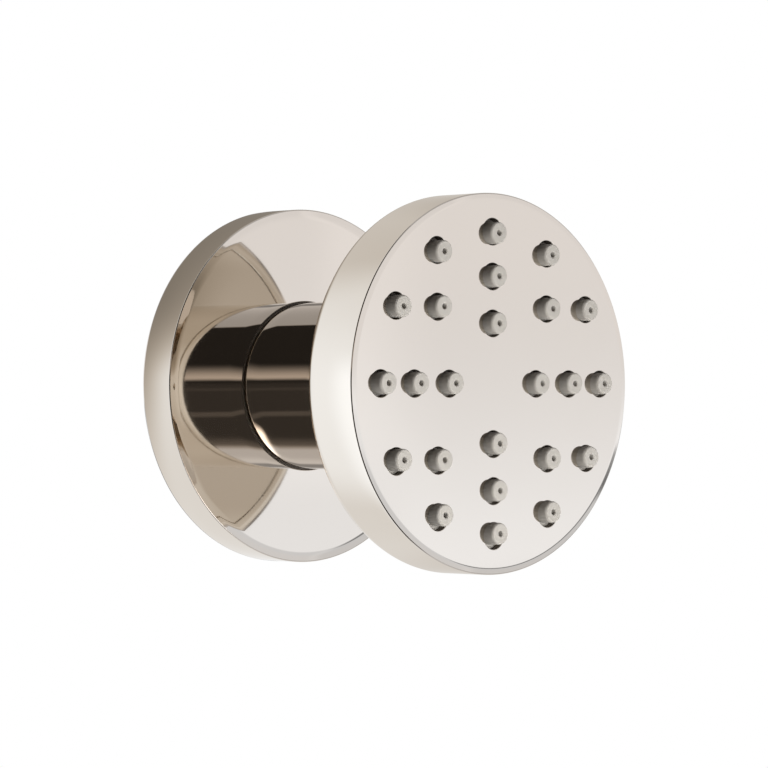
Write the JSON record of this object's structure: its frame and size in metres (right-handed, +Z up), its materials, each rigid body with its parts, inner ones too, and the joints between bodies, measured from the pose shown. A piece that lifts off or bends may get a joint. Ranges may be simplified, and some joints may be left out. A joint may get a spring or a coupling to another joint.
{
  "type": "shower body jet",
  "caption": "Round wall-mounted shower body jet: flat wall flange, plain cylindrical neck and a puck-shaped head on a ball swivel, with rings of soft nozzles in its flat face.",
  "frame": {"origin": "centre of the wall flange's back face, at the mouth of the inlet thread, on the wall plane", "axes": "+Z up, +Y into the wall, the jet sprays along -Y, +X to the right as seen from in front"},
  "size_m": [0.0762, 0.0678, 0.0762],
  "materials": {
    "polished_nickel": "polished nickel plate",
    "brass": "turned, unplated",
    "nickel_ball": "polished, nickel plated",
    "silicone": "soft matte, pale grey",
    "foam": "closed-cell foam, black",
    "seal_rubber": "matte black",
    "seat_plastic": "natural acetal",
    "regulator_plastic": "moulded, blue",
    "fibre": "pressed fibre",
    "screen_steel": "stainless"
  },
  "bodies": {
    "base": {"wall_flange": "polished_nickel", "wall_gasket": "foam", "flange_grip_ring": "seal_rubber", "foot_seal": "seal_rubber", "neck_barrel": "polished_nickel", "inlet_washer": "seal_rubber", "filter_screen": "screen_steel", "regulator_body": "regulator_plastic", "control_ring": "seal_rubber", "regulator_seal": "seal_rubber", "seat_cushion": "seal_rubber", "retaining_collar": "polished_nickel"},
    "ball_seats": {"rear_seat": "seat_plastic", "front_seat": "seat_plastic"},
    "head": {"swivel_ball": "nickel_ball", "stem_washer": "fibre", "back_cover": "polished_nickel", "cover_seal": "seal_rubber", "backing_plate": "seat_plastic", "nozzle_mat": "silicone", "head_shell": "polished_nickel"}
  },
  "joints": [
    {"name": "head_turn", "type": "hinge", "parent": "base", "child": "ball_seats", "pos_m": [0, -0.0377, 0], "axis": [0, -1, 0], "continuous": true},
    {"name": "head_tilt", "type": "hinge", "parent": "ball_seats", "child": "head", "pos_m": [0, -0.0377, 0], "axis": [1, 0, 0], "range_deg": [-15, 15]}
  ]
}
